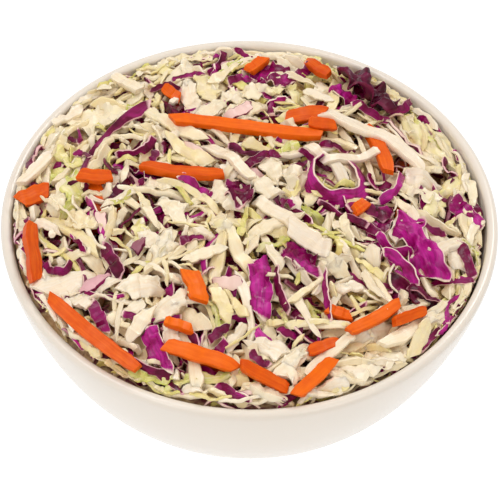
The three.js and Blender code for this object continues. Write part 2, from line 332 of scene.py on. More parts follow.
# Millimetres and degrees. bend turns a shred sideways along its length, crinkle waves it up and down,
# ruffle crumples its face, ragged makes its outline uneven, taper narrows its ends, curl cups it,
# forms are outlines.
shredKinds = {
    "carrot": {
        "piece": "carrotSticks", "section": boxSection, "stations": 11, "stiff": True,
        "forms": ("even", "wedge"),
        "length": (14, 34), "width": (3.4, 5.4), "thick": (2.2, 3.2), "bend": 9, "roll": 14, "twist": 10,
        "crinkle": 0.12, "ruffle": 0.04, "ragged": 0.05, "taper": (0.02, 0.35), "slant": 0.6, "curl": 0.02,
    },
    "rib": {
        "piece": "cabbageRibs", "section": ribSection, "stations": 13, "stiff": True,
        "forms": ("club", "even", "even", "wedge", "wedge", "waist"),
        "length": (10, 28), "width": (2.2, 5.4), "thick": (1.2, 2.6), "bend": 56, "roll": 70, "twist": 50,
        "crinkle": 0.8, "ruffle": 0.25, "ragged": 0.12, "taper": (0.0, 0.5), "slant": 0.9, "curl": 0.2,
    },
    "longRib": {
        "piece": "cabbageRibs", "section": ribSection, "stations": 23, "stiff": False,
        "forms": ("even", "waist"),
        "length": (20, 42), "width": (3.4, 6), "thick": (1.6, 2.4), "bend": 30, "roll": 20, "twist": 30,
        "crinkle": 0.35, "ruffle": 0.2, "ragged": 0.07, "taper": (0.0, 0.4), "slant": 0.7, "curl": 0.12,
    },
    "slab": {
        "piece": "cabbageRibs", "section": slabSection, "stations": 15, "stiff": False,
        "forms": ("even", "club", "wedge"),
        "length": (9, 19), "width": (5, 10), "thick": (1.0, 2.2), "bend": 34, "roll": 44, "twist": 44,
        "crinkle": 1.0, "ruffle": 0.8, "ragged": 0.14, "taper": (0.0, 0.5), "slant": 0.9, "curl": 0.24,
    },
    "ribbon": {
        "piece": "cabbageRibbons", "section": stripSection, "stations": 17, "stiff": False,
        "forms": ("even", "club", "wedge"),
        "length": (9, 30), "width": (1.3, 3.6), "thick": (0.6, 1.4), "bend": 120, "roll": 75, "twist": 110,
        "crinkle": 1.4, "ruffle": 0.35, "ragged": 0.14, "taper": (0.0, 0.35), "slant": 0.5, "curl": 0.2,
    },
    "leaf": {
        "piece": "cabbageLeaves", "section": leafSection, "stations": 19, "stiff": False,
        "forms": ("even", "club", "waist"),
        "length": (8, 20), "width": (4, 9), "thick": (0.5, 0.8), "bend": 40, "roll": 40, "twist": 60,
        "crinkle": 1.2, "ruffle": 1.7, "ragged": 0.2, "taper": (0.0, 0.4), "slant": 0.8, "curl": 0.3,
    },
    "redShred": {
        "piece": "redCabbage", "section": stripSection, "stations": 14, "stiff": False,
        "forms": ("even", "club", "waist"),
        "length": (8, 26), "width": (1.5, 3.9), "thick": (0.7, 1.3), "bend": 130, "roll": 80, "twist": 100,
        "crinkle": 1.2, "ruffle": 0.6, "ragged": 0.15, "taper": (0.0, 0.4), "slant": 0.6, "curl": 0.3,
        "rind": "edges",
    },
    "redRib": {
        "piece": "redCabbage", "section": ribSection, "stations": 13, "stiff": False,
        "forms": ("club", "even", "wedge"),
        "length": (9, 22), "width": (2.6, 5.4), "thick": (1.3, 2.1), "bend": 44, "roll": 50, "twist": 50,
        "crinkle": 0.6, "ruffle": 0.35, "ragged": 0.15, "taper": (0.1, 0.6), "slant": 0.7, "curl": 0.2,
        "rind": "faces",
    },
    "redLeaf": {
        "piece": "redCabbage", "section": leafSection, "stations": 19, "stiff": False,
        "forms": ("even", "club", "waist"),
        "length": (11, 22), "width": (4.5, 9), "thick": (0.6, 1.0), "bend": 44, "roll": 34, "twist": 60,
        "crinkle": 1.1, "ruffle": 1.8, "ragged": 0.12, "taper": (0.1, 0.6), "slant": 0.8, "curl": 0.35,
        "rind": "edges",
    },
    "redFrill": {
        "piece": "redCabbage", "section": frillSection, "stations": 39, "stiff": False,
        "forms": ("even", "waist"),
        "length": (18, 28), "width": (9, 14), "thick": (0.7, 1.0), "bend": 30, "roll": 30, "twist": 30,
        "crinkle": 1.8, "ruffle": 3.0, "folds": (11, 15), "ragged": 0.2, "taper": (0.1, 0.5), "slant": 0.6,
        "curl": 0.3, "rind": "edges",
    },
    "redRing": {
        "piece": "redCabbage", "section": stripSection, "stations": 33, "stiff": False, "forms": ("even",),
        "length": (30, 50), "width": (5, 8), "thick": (0.9, 1.3), "bend": 290, "roll": 70, "twist": 20,
        "crinkle": 0.5, "ruffle": 0.3, "ragged": 0.08, "taper": (0.0, 0.3), "slant": 0.4, "curl": 0.1,
        "rind": "edges",
    },
    "bit": {
        "piece": "cabbageRibs", "section": ribSection, "stations": 7, "stiff": True,
        "forms": ("even", "wedge", "club"),
        "length": (3, 8), "width": (1.6, 4.0), "thick": (1.2, 2.6), "bend": 45, "roll": 60, "twist": 30,
        "crinkle": 0.3, "ruffle": 0.2, "ragged": 0.18, "taper": (0.0, 0.4), "slant": 0.8, "curl": 0.1,
    },
    "sliver": {
        "piece": "cabbageRibbons", "section": stripSection, "stations": 11, "stiff": False,
        "forms": ("even", "wedge"),
        "length": (5, 16), "width": (0.8, 2.0), "thick": (0.5, 0.9), "bend": 80, "roll": 60, "twist": 80,
        "crinkle": 0.6, "ruffle": 0.2, "ragged": 0.16, "taper": (0.1, 0.7), "slant": 0.6, "curl": 0.2,
    },
    "redBit": {
        "piece": "redCabbage", "section": stripSection, "stations": 9, "stiff": False,
        "forms": ("even", "wedge", "club"),
        "length": (4, 10), "width": (1.4, 3.2), "thick": (0.8, 1.3), "bend": 60, "roll": 60, "twist": 50,
        "crinkle": 0.5, "ruffle": 0.4, "ragged": 0.2, "taper": (0.1, 0.6), "slant": 0.6, "curl": 0.25,
        "rind": "edges",
    },
}
meshParts = {}
for kind in shredKinds.values():
    meshParts[kind["piece"]] = {"points": [], "faces": [], "fibre": [], "tone": [], "rind": [], "paintedshade": [],
        "count": 0}


def smoothNoise(count, waves):
    # a wavy random line from about -1 to 1, with that many waves along it
    u = np.linspace(0, 1, count)
    value = np.zeros(count)
    for i in range(3):
        size = rng.uniform(0.4, 1) / (i + 1)
        value += size * np.sin(2 * math.pi * (waves * (i + 0.6) * u + rng.random()))
    return value / 1.4


def centreLine(x, y, turn, length, bend, wander, stations):
    u = np.linspace(-0.5, 0.5, stations)
    heading = turn + bend * u + wander * smoothNoise(stations, 1.1)
    step = length / (stations - 1)
    middles = (heading[1:] + heading[:-1]) / 2
    line = np.zeros((stations, 2))
    line[1:] = np.cumsum(np.stack([np.cos(middles), np.sin(middles)], -1) * step, 0)
    line += np.array([x, y]) - line.mean(0)
    return line, heading


def settle(support, stiff, step):
    # the height of the underside along the shred
    count = len(support)
    if stiff:
        places = np.arange(count)
        middle = (count - 1) / 2
        best = None
        for i in range(count):
            for j in range(i + 1, count):
                if i <= middle <= j:
                    slope = (support[j] - support[i]) / (j - i)
                    height = support[i] + slope * (middle - i)
                    if best is None or height > best[0]:
                        best = (height, slope)
        slope = np.clip(best[1], -0.45 * step, 0.45 * step)
        base = np.max(support - slope * places)
        line = base + slope * places
        return line - 0.25 * np.clip(line - support, 0, 1.2).mean()
    line = support.copy()
    for _ in range(18):
        taut = line.copy()
        taut[1:-1] = (line[:-2] + line[2:]) / 2 - 0.02
        taut[0] = line[1] + np.clip(line[1] - line[2], -0.5 * step, 0.15 * step) - 0.1
        taut[-1] = line[-2] + np.clip(line[-2] - line[-3], -0.5 * step, 0.15 * step) - 0.1
        line = np.maximum(support, taut)
    return line


# How far above the heap's outline the underside of a shred may lie, and the height that none passes
tallest = {"leaf": 1.6, "slab": 1.8, "rib": 3.4, "carrot": 5.8, "redLeaf": 3.2, "redFrill": 4.8,
    "redRing": 6.5, "longRib": 5.5, "ribbon": 4, "redShred": 3.8, "other": 2.2}
topMost = 87.2
roughness = 6.2  # how far the other pieces may reach above the outline


def outlineOf(form, t):
    # a shred's width along its length, as a share of its widest place
    if form == "club":
        return 0.5 + 0.5 * np.exp(-(((t - 0.16) / 0.24) ** 2))
    if form == "wedge":
        return 1 - 0.55 * t
    if form == "waist":
        return 1 - 0.4 * np.exp(-(((t - 0.55) / 0.18) ** 2))
    return np.ones_like(t)


def shapeShred(kind, x, y, turn, length, width, thick, bend, roll, twist, waves, ceiling):
    stations = kind["stations"]
    if abs(bend) > 2.2:
        stations += 10
    section = np.array(kind["section"])
    u = np.linspace(-1, 1, stations)
    line, heading = centreLine(x, y, turn, length, bend, waves["wander"], stations)
    taper = waves["taper"]
    form = outlineOf(waves["form"], (u * waves["facing"] + 1) / 2)
    ends = np.where(u < 0, taper[0], taper[1]) * np.abs(u) ** 3
    ends = ends + 0.22 * np.clip(np.abs(u) - 0.93, 0, 1) / 0.07
    outlines = waves["outline"](stations)
    ragged = kind["ragged"] * min(1, 8 / width)
    widths = width * form * (1 - ends) * (1 + ragged * outlines[0])
    thicks = thick * (0.55 + 0.45 * form) * (1 - 0.5 * ends) * (1 + 0.12 * outlines[2])
    normal = np.stack([-np.sin(heading), np.cos(heading)], -1)
    spread = max(0.25, abs(math.cos(roll))) * widths / 2
    across = np.array([-0.85, -0.4, 0, 0.4, 0.85])
    sample = line[:, None] + normal[:, None] * (spread[:, None] * across)[..., None]
    under = groundAt(sample[..., 0], sample[..., 1])
    lean = math.atan2(float(np.median(under[:, -1] - under[:, 0])), float(1.7 * spread.mean() + 0.5))
    roll = roll + np.clip(lean, -0.7, 0.7) * (0.8 if abs(roll) < 0.8 else 0.2)
    planar = np.sort(under, 1)[:, -2] if not kind["stiff"] else under.max(1) - 0.3
    step = length / (stations - 1)
    low = settle(planar, kind["stiff"], step)
    # nothing stands far above the heap, and the top of the heap is as high as it may be
    tooHigh = float((low - heapHeight(line[:, 0], line[:, 1])).max()) - ceiling
    low = low - max(0, tooHigh)
    rolls = roll + twist * u / 2
    leanShare = np.abs(np.sin(rolls - lean * (abs(lean) < 0.7)))
    lift = leanShare * widths / 2 * 0.9 + np.abs(np.cos(rolls)) * thicks / 2
    middle = np.column_stack([line, low + lift - 0.12 * thick])
    middle[:, 2] += kind["crinkle"] * waves["crinkle"](stations) * 0.5 * min(1, length / 14)
    tangent = np.gradient(middle, axis=0)
    tangent /= np.linalg.norm(tangent, axis=1)[:, None]
    sideways = np.cross([0.0, 0, 1], tangent)
    sideways /= np.linalg.norm(sideways, axis=1)[:, None]
    upwards = np.cross(tangent, sideways)
    cos, sin = np.cos(rolls)[:, None], np.sin(rolls)[:, None]
    wide = sideways * cos + upwards * sin
    thickWay = upwards * cos - sideways * sin
    lanes = len(section)
    v = section[:, 0]
    # the outline's two edges wander on their own, and the ends are cut at a slant
    edgeShift = ragged * 0.6 * (outlines[1][:, None] * (v > 0.2) + outlines[2][:, None] * (v < -0.2))
    offset = (v[None] + edgeShift * np.sign(v)[None]) * widths[:, None]
    endShare = np.clip(np.abs(u) - 0.75, 0, 1) * 4
    slantShift = np.sign(u) * endShare * np.where(u < 0, waves["slant"][0], waves["slant"][1])
    along = slantShift[:, None] * v[None] * width
    ruffle = kind["ruffle"] * waves["ruffle"](u[:, None] * length / 2, v[None] * width)
    cup = waves["cup"] * width * (v[None] ** 2 - 0.08)
    half = section[:, 1][None] * thicks[:, None] / 2
    base = middle[:, None] + wide[:, None] * offset[..., None] + tangent[:, None] * along[..., None]
    upper = base + thickWay[:, None] * (ruffle + cup + half)[..., None]
    lower = base + thickWay[:, None] * (ruffle + cup - half)[..., None]
    return np.concatenate([upper, lower[:, ::-1]], 1), lanes, u, v


def makeWaves(kind):
    # every random draw of a shred, so that its shape stays the same while it is moved
    phases = rng.random(8)
    crinkles = rng.uniform(1.2, 3.2)
    pitch = rng.uniform(*kind.get("folds", (5, 9)))

    def wavy(count, waves, phase):
        t = np.linspace(0, 1, count)
        slow = np.sin(2 * math.pi * (waves * t + phase))
        quick = np.sin(2 * math.pi * (waves * 2.3 * t + phase * 3.1))
        return 0.62 * slow + 0.38 * quick

    def crumple(along, across):
        first = np.sin(2 * math.pi * (along / pitch + across / 11 + phases[4]))
        second = np.sin(2 * math.pi * (along / (pitch * 0.53) - across / 7 + phases[5]))
        third = np.sin(2 * math.pi * (across / 6.3 + along / 17 + phases[6]))
        return (0.5 * first + 0.3 * second + 0.4 * third) * np.clip(0.25 + np.abs(across) / 4, 0, 1)

    return {
        "wander": rng.uniform(-0.3, 0.3),
        "taper": rng.uniform(*kind["taper"], 2),
        "slant": rng.uniform(-kind["slant"], kind["slant"], 2),
        "cup": rng.uniform(-kind["curl"], kind["curl"]),
        "form": kind["forms"][rng.integers(len(kind["forms"]))],
        "facing": rng.choice([-1, 1]),
        "crinkle": lambda n: wavy(n, crinkles, phases[0]),
        "outline": lambda n: (wavy(n, 1.3, phases[1]), wavy(n, 2.6, phases[2]), wavy(n, 2.2, phases[3])),
        "ruffle": crumple,
    }


def raiseGround(surface, length, width):
    # the whole skin, sampled finer than the cells
    fine = max(1, int(math.ceil(length / (len(surface) - 1) / 0.45)))
    closed = np.concatenate([surface, surface[:, :1]], 1)
    t = np.linspace(0, len(surface) - 1, (len(surface) - 1) * fine + 1)
    low = np.minimum(t.astype(int), len(surface) - 2)
    rows = closed[low] + (closed[low + 1] - closed[low]) * (t - low)[:, None, None]
    finer = max(1, int(math.ceil(width / 5 / 0.45)))
    s = np.linspace(0, closed.shape[1] - 1, (closed.shape[1] - 1) * finer + 1)
    low = np.minimum(s.astype(int), closed.shape[1] - 2)
    points = rows[:, low] + (rows[:, low + 1] - rows[:, low]) * (s - low)[None, :, None]
    index = cells(points[..., 0], points[..., 1])
    np.maximum.at(ground, index, points[..., 2])
    return index


sinkDepth = 12  # millimetres under the heap's outline where the shreds get the full painted shade
creviceShade = {"reach": 2.5, "blur": 1.5, "free": 1.2, "depth": 7.0, "most": 0.3}  # painted shade in the crevices between pieces, in millimetres; most is its largest share


def crowdedHeight(c=creviceShade):
    # how high the pieces around each place reach
    height = np.where(ground > wallMark, -50, ground)
    for way, distance in (("top", c["reach"]), ("mean", c["blur"])):
        steps = int(round(distance / heapSizes["cell"]))
        for axis in (0, 1):
            moved = [np.roll(height, shift, axis) for shift in range(-steps, steps + 1)]
            height = np.max(moved, 0) if way == "top" else np.mean(moved, 0)
    return height


def keepShred(kind, surface, lanes, u, v, length, width, tone):
    part = meshParts[kind["piece"]]
    stations, ring = surface.shape[:2]
    start = part["count"]
    seed = rng.uniform(0, 900)
    part["points"].append(surface.reshape(-1, 3))
    i = np.arange(stations - 1)[:, None]
    j = np.arange(ring)[None]
    a = start + i * ring + j
    b = start + i * ring + (j + 1) % ring
    faces = np.stack([a, a + ring, b + ring, b], -1).reshape(-1, 4)
    caps = []
    for j in range(lanes - 1):
        first = [start + j, start + j + 1, start + ring - 2 - j, start + ring - 1 - j]
        last = [start + (stations - 1) * ring + k - start for k in first][::-1]
        caps += [first, last]
    part["faces"] += [faces, np.array(caps)]
    along = np.repeat((u * length / 2)[:, None], ring, 1)
    acrossOnce = np.concatenate([v, v[::-1]]) * width
    across = np.repeat(acrossOnce[None], stations, 0)
    part["fibre"].append(np.stack([along, across, np.full_like(along, seed)], -1).reshape(-1, 3))
    part["tone"].append(np.full(stations * ring, tone))
    edge = np.repeat(((np.abs(np.concatenate([v, v[::-1]])) > 0.47)).astype(float)[None], stations, 0)
    edge[0] = edge[-1] = 1
    rind = {"edges": edge, "faces": 1 - edge}.get(kind.get("rind"), edge)
    part["rind"].append(rind.reshape(-1))
    # painted shade: the deeper a place lies under the heap's outline, the darker and warmer it is painted
    under = heapHeight(surface[..., 0], surface[..., 1]) + 1 - surface[..., 2]
    part["paintedshade"].append(np.clip(under / sinkDepth, 0, 1).reshape(-1))
    part["count"] += stations * ring


# A piece that lies higher is moved nearer by this share of it, so that it is still seen at its place
sightSlope = 0.87
sightDome = {"height": 9, "fall": 15, "radius": 84}  # the rounded heap on which the places were read
steadyTries = 2  # so often a piece that stands out is moved to its line of sight


def layShred(name, x, y, turn, length=None, width=None, bend=None, roll=None, twist=None, tone=None,
    thick=None, standout=False):
    kind = shredKinds[name]
    length = rng.uniform(*kind["length"]) if length is None else length
    width = rng.uniform(*kind["width"]) if width is None else width
    thick = rng.uniform(*kind["thick"]) if thick is None else thick
    bend = math.radians(rng.uniform(-kind["bend"], kind["bend"]) if bend is None else bend)
    roll = math.radians(rng.normal(0, kind["roll"] / 2) if roll is None else roll)
    twist = math.radians(rng.uniform(-kind["twist"], kind["twist"]) if twist is None else twist)
    tone = rng.random() if tone is None else tone
    waves = makeWaves(kind)
    if standout and name in ("carrot", "redLeaf", "longRib"):  # these are cut straight and square
        waves["form"] = "even"
        waves["taper"] = waves["taper"] * 0.4
    ceiling = tallest.get(name, tallest["other"]) if standout else tallest["other"]
    placedY = y
    for attempt in range(5):
        surface, lanes, u, v = shapeShred(kind, x, y, turn, length, width, thick, bend, roll, twist, waves,
            ceiling)
        if standout and attempt < steadyTries:
            fall = sightDome["fall"] * (x**2 + placedY**2) / sightDome["radius"] ** 2
            seen = bowlSizes["rimHeight"] + sightDome["height"] - fall
            y = placedY - sightSlope * (float(surface[..., 2].mean()) - seen)
            continue
        radius = np.hypot(surface[..., 0], surface[..., 1])
        over = float((radius - roomAt(surface[..., 2])).max())
        if over <= 0.05:
            break
        inwards = 1 - (over + 0.1) / max(math.hypot(x, y), 1)
        x, y = x * inwards, y * inwards
    over = float(surface[..., 2].max()) - topMost
    if not standout:
        above = surface[..., 2] - heapHeight(surface[..., 0], surface[..., 1])
        over = max(over, float(above.max()) - roughness)
    surface[..., 2] -= max(0, over)
    # what still touches the wall lies flat against it
    radius = np.hypot(surface[..., 0], surface[..., 1])
    squeeze = np.minimum(1, roomAt(surface[..., 2]) / np.maximum(radius, 1e-6))
    surface[..., :2] *= squeeze[..., None]
    covered = raiseGround(surface, length, width)
    if standout:
        standing[covered] = 1
    keepShred(kind, surface, lanes, u, v, length, width, tone)


wallRoom = 1.5  # a place partly behind the wall still counts, as the piece is then moved inwards


def findPlace(length, tries, spare, reachIn, reachOut):
    # the place and heading where a piece of that length has the most room under the heap's outline
    radius = reachOut * np.sqrt(rng.uniform((reachIn / reachOut) ** 2, 1, tries))
    angle = rng.uniform(0, 2 * math.pi, tries)
    x, y = radius * np.cos(angle), radius * np.sin(angle)
    turn = rng.uniform(0, math.pi, tries)
    nearWall = radius > 75.5
    turn = np.where(nearWall, angle + math.pi / 2 + rng.uniform(-0.5, 0.5, tries), turn)
    t = np.linspace(-0.42, 0.42, 7) * length
    px = x[:, None] + np.cos(turn)[:, None] * t
    py = y[:, None] + np.sin(turn)[:, None] * t
    index = cells(px, py)
    room = np.clip(outline[index] - ground[index], -6, 12) - 30 * standing[index]
    room = np.where(ground[index] > wallMark, wallRoom, room)
    score = room.mean(1) + 0.5 * room.min(1)
    best = int(np.argmax(score))
    if room[best].mean() < spare:
        return None
    return x[best], y[best], turn[best]


def scatter(layer):
    names = list(layer["mixture"])
    shares = np.array([layer["mixture"][name] for name in names], float)
    laid = 0
    for _ in range(layer["count"]):
        name = names[rng.choice(len(names), p=shares / shares.sum())]
        length = rng.uniform(*shredKinds[name]["length"])
        length = min(length, layer.get("longest", 99))
        place = findPlace(length, layer["tries"], layer["spare"], layer.get("reachIn", 0),
            layer.get("reachOut", 84.5))
        if place:
            layShred(name, *place, length=length)
            laid += 1
    return laid


# How many pieces go into each layer, and of what
layers = {
    "deep": {"count": 270, "tries": 14, "spare": 3.0,
             "mixture": {"rib": 20, "slab": 10, "ribbon": 14, "leaf": 6, "carrot": 10, "redShred": 26,
             "redRib": 8, "redLeaf": 6}},
    "middle": {"count": 280, "tries": 16, "spare": 2.6,
               "mixture": {"rib": 20, "slab": 10, "ribbon": 18, "leaf": 6, "redShred": 28, "redRib": 8,
               "redLeaf": 6}},
    "edge": {"count": 270, "tries": 24, "spare": 0.3, "reachIn": 76, "longest": 15,
             "mixture": {"rib": 26, "ribbon": 24, "bit": 16, "sliver": 10, "redShred": 14, "redBit": 8}},
    "body": {"count": 440, "tries": 22, "spare": 1.8,
             "mixture": {"rib": 34, "slab": 15, "ribbon": 32, "leaf": 11, "redShred": 29, "redRib": 4,
             "redLeaf": 4}},
    "wallLine": {"count": 170, "tries": 30, "spare": 0.2, "reachIn": 81.5, "reachOut": 85.4, "longest": 15,
                 "mixture": {"rib": 20, "ribbon": 30, "leaf": 10, "sliver": 12, "redBit": 8,
                 "redShred": 10}},
    "fill": {"count": 220, "tries": 40, "spare": 1.4,
             "mixture": {"bit": 20, "sliver": 28, "ribbon": 22, "rib": 12, "redBit": 12}},
    "strands": {"count": 140, "tries": 30, "spare": -0.4,
                "mixture": {"sliver": 46, "ribbon": 34, "redBit": 20}},
}

for name in ("deep", "middle", "edge", "body", "wallLine"):
    print("heap:", name, "layer,", scatter(layers[name]), "pieces")

# The pieces that stand out. A row is x, y, turn, length, width, bend, roll and perhaps tone, in millimetres
# and degrees. Spots were picked by eye in the photo. Two helper scripts turned them into place, heading and
# length, and most of those figures stand here with small changes. The others were chosen.
standouts = {
    "carrot": [
        (-2, 34, -2, 56, 5.0, 4, 0), (20, 43, 8, 15, 6.0, 0, 10), (-31, 57, -40, 8, 4.4, 0, 5),
        (-25, 11, -10, 31, 5.0, 8, 0), (-56, 11, 0, 12, 5.6, 0, 8), (-80, 8, 20, 11, 6.6, 0, 6),
        (-79, -19, -84, 26, 5.0, 8, -8), (1, 77, 43, 9, 4.6, 0, 0), (25, 77, -46, 13, 5, 4, -8),
        (47, 28, -75, 27, 5.2, -28, 0), (39, -3, 54, 7, 4.4, 0, 10), (-18, -40, -68, 13, 6.2, 0, 8),
        (-54, -61, -42, 43, 5.0, 8, 10), (-15, -65, -18, 25, 5.2, -4, 6, 0.1),
        (6, -71, -16, 16, 4.4, 0, 6), (-23, -54, -10, 9, 3.6, 0, 0), (43, -50, 38, 22, 4.2, 10, 0),
        (26, -60, 26, 12, 4, 4, 0), (24, -74, 48, 18, 4.6, 6, 8), (55, -47, 37, 14, 3.8, 6, 4),
        (31, -48, -12, 8, 3.8, 4, 0), (26, 37, 3, 10, 4.6, 0, 0, 0.7),
    ],
    "redShred": [
        (-52, 33, 54, 42, 4.6, -34, 16, 0.4), (-42, 25, 32, 17, 4.2, 90, 40, 0.4),
        (-19, 2, -32, 15, 3.4, 14, 40), (-2, 20, -22, 15, 2.8, 20, 30),
        (-14, 82, 70, 16, 3.2, 90, 20, 0.4), (-25, 68, 19, 14, 2.4, 20, 20),
        (-47, -28, -66, 18, 4.8, -16, 16, 0.3), (19, 73, 54, 18, 3.8, 30, 20, 0.5),
        (25, 17, -24, 18, 3, 20, 50, 0.5), (33, -7, -33, 21, 3, 6, 50),
        (43, -4, 12, 17, 4.2, -10, 20, 0.4), (52, 9, 62, 18, 4.4, 110, 40, 0.9),
        (80, -19, -76, 15, 3.8, 14, 20, 0.4), (11, -41, -80, 19, 3.4, 34, 60, 0.4),
        (51, -18, -24, 15, 4.2, 70, 56, 0.9), (53, -26, -40, 16, 4.2, -60, 60, 0.9),
        (27, -42, -84, 20, 2.6, 16, 60, 0.7), (61, -35, -16, 12, 2.8, 10, 10),
        (72, -29, 3, 16, 3, -20, 10, 0.5), (-50, -50, -60, 12, 4.4, 10, 10, 0.6),
        (-32, -68, -10, 26, 4.4, 50, 40, 0.3), (-4, -78, -30, 14, 4.6, 30, 20, 0.5),
        (-50, -41, -14, 18, 2, 100, 50, 0.7), (-74, -23, -38, 16, 3.4, 30, 30, 0.7),
        (-81, -11, -70, 17, 2.8, -16, 30, 0.6), (-24, 43, -66, 13, 3.4, 6, 20, 0.6),
        (64, -8, 10, 14, 3, 40, 50), (45, 50, -22, 16, 3.4, 10, 30, 0.6), (-34, 62, -20, 12, 2.6, 30, 20),
        (57, 58, 43, 15, 3.4, 60, 30, 0.4), (4, 17, 28, 15, 4.2, 20, 20, 0.5),
        (68, 51, -48, 12, 3.2, 30, 30, 0.6), (-46, 4, 58, 14, 4, 10, 10, 0.1),
        (15, 30, 36, 20, 3, -20, 40, 0.8), (-60, -20, -56, 10, 2.8, 6, 30, 0.7),
        (-66, -28, -5, 14, 2.8, 200, 50, 0.5), (-5, 67, 28, 10, 3.6, 10, 20, 0.5),
        (30, 26, -8, 11, 3.4, 10, 20, 0.3), (-9, -57, 30, 8, 3.2, 10, 30, 0.4),
        (-20, -21, 12, 9, 3.2, -30, 20, 0.4), (-62, 24, -42, 9, 3.4, 6, 20, 0.5),
    ],
    "redLeaf": [
        (-4, 0, -76, 14, 9, 10, 10, 0.4), (7, 71, -32, 18, 9, 20, 10, 0.6),
        (45, 63, -46, 24, 8, 16, 14, 0.2), (82, 4, -50, 16, 7, 14, 20, 0.8),
        (4, -39, -86, 23, 8, -6, 14, 0.95), (18, -28, -30, 14, 10, 10, 0, 0.6),
        (-30, -62, -65, 16, 7.5, 0, 16, 0.9), (35, 60, -35, 12, 6, 20, 10),
    ],
    "redFrill": [
        (47, 70, -58, 31, 14, 20, -26, 0.08), (59, -16, -64, 28, 14, 14, 8, 0.95),
    ],
    "leaf": [
        (-57, 45, 24, 20, 13, 18, -8, 0.3), (-66, 11, -54, 20, 10, 10, 6, 0.98),
        (-11, 72, 57, 22, 5, 10, 14, 0.95), (-3, 57, 30, 20, 7, 20, 10, 0.2),
        (68, 36, -52, 30, 9, 14, 10, 0.62), (71, 9, 60, 28, 6, -18, 16, 0.66),
        (44, -64, 30, 26, 10, 20, -8, 0.1), (-13, -73, 16, 28, 6, -12, 0, 0.9),
        (69, -35, 66, 40, 4.6, 42, 16, 0.8), (66, 43, -52, 23, 4, 10, 20, 0.9),
        (-45, 53, 76, 13, 4.4, 10, 20, 0.9), (62, 22, 70, 17, 11, 20, 14, 0.3),
        (13, 23, 28, 13, 6, 10, 10, 0.97), (11, 60, 19, 12, 4.6, -20, 10, 0.6),
        (-68, 23, -48, 14, 4.6, 20, 10, 0.85), (22, -9, -42, 10, 5, 20, 10, 0.97),
        (9, -23, 29, 12, 3.6, 6, 10, 0.97), (33, -70, 60, 14, 9, 10, 10, 0.1),
    ],
    "slab": [
        (-30, -24, 58, 12, 10, 10, 0, 0.3), (-28, -7, -36, 12, 9, 10, 10, 0.4),
        (-9, -3, -52, 14, 6, 10, 20, 0.3), (8, 11, -70, 12, 9, 10, 0, 0.3),
        (-36, -40, 15, 14, 8.6, 10, 10, 0.1), (-26, -47, 32, 12, 7, 10, 10, 0.2),
        (-9, -46, -68, 16, 4.8, 10, 14, 0.95), (-4, -47, -58, 13, 4.6, 6, 20, 1),
        (64, 10, -62, 16, 8, 26, 14, 0.3), (76, -16, -60, 18, 9, 10, 10, 0.1),
        (36, -38, 12, 13, 6.6, 0, 0, 0.1), (43, -55, 27, 15, 7, 6, 10, 0.0),
        (-64, -37, 28, 22, 14, 14, 8, 0.1), (-37, -17, -61, 16, 7.5, 10, 12, 0.15),
        (-10, -15, -58, 12, 6, 10, 20, 0.7), (22, -20, -28, 13, 7, 14, 6, 0.0),
        (4, 3, -41, 14, 7.6, 10, 6, 0.3), (-24, 22, -47, 23, 6.4, 30, 10, 0.9),
        (-24, 54, -66, 16, 7, 10, 12, 0.2), (-38, 44, -80, 13, 6.4, 10, 12, 0.5),
        (-15, 46, 50, 14, 9, 10, 6, 0.5), (7, -62, -22, 13, 9, 10, 8, 0.05),
        (-6, 12, 52, 11, 7, 10, 10, 0.05), (17, -64, 52, 12, 6.4, 6, 20, 0.3),
        (29, -29, -42, 13, 6, 10, 20, 0.6),
    ],
    "redRib": [
        (-52, -36, 36, 12, 7, 6, 10, 0.3), (-52, -13, -78, 11, 4.6, 6, 20, 0.6),
        (-5, 44, 37, 12, 4.6, 20, 20, 0.5), (-7, -39, -11, 11, 4.8, 40, 30, 0.6),
    ],
    "rib": [
        (42, -48, 38, 22, 3.8, 6, 0, 0.5), (24, -54, -4, 22, 3.6, -10, 10, 0.6),
        (28, -62, 42, 22, 4, -8, 0, 0.3), (20, -50, -62, 18, 4, 10, 20, 0.3),
        (57, -51, 38, 30, 4.8, 10, 0, 0.4), (-36, -53, 54, 13, 5, 0, 10, 0.3),
        (-35, -10, -60, 13, 4, 6, 10, 0.5), (-15, -29, 21, 15, 4.2, -10, 10, 0.5),
        (-47, -2, 23, 12, 3, 10, 10, 0.3), (-11, 71, 56, 18, 4.4, 6, 10, 0.7),
        (-52, 70, -46, 16, 4.6, 10, 0, 0.3), (-79, 21, 56, 17, 4.6, 8, 10, 0.05),
        (43, -36, -58, 13, 3.6, 30, 20, 0.4), (20, -41, 44, 18, 3.2, 10, 10, 0.8),
        (-60, -47, -68, 12, 4, 6, 10, 0.0), (25, 57, -36, 13, 5, 10, 10, 0.2),
    ],
    "redRing": [(31, 11, -4, 54, 7.5, 290, 58, 0.85)],
    "ribbon": [
        (17, 31, 21, 31, 3, -70, 20, 0.85), (-45, 0, 50, 14, 1.6, 120, 30, 1),
        (-65, -45, 25, 14, 2.2, 6, 10, 0.9), (-66, -3, -51, 17, 1.6, -10, 10, 0.3),
        (-72, 2, -48, 12, 2, 6, 10, 0.3), (-39, -1, -61, 15, 3, 6, 10, 0.5),
        (24, -54, -2, 21, 3.4, -10, 10, 0.6), (-16, -45, -17, 9, 1.4, -20, 10, 0.8),
    ],
    "longRib": [
        (46, 35, -33, 44, 5.4, -34, 0, 0), (28, 18, -48, 20, 4.4, -10, 0, 0),
        (-8, 16, -48, 26, 4.6, -14, 0, 0.2), (10, -10, -44, 22, 5, -20, 10, 0.2),
        (21, -19, -34, 17, 7, 24, 14, 0), (36, 21, 18, 22, 3.4, 0, 10, 0.1),
    ],
}
standoutTwist = 15  # degrees either way
layingOrder = (
    "leaf", "slab", "redLeaf", "redRib", "carrot", "rib",
    "redShred", "redFrill", "longRib", "redRing", "ribbon",
)
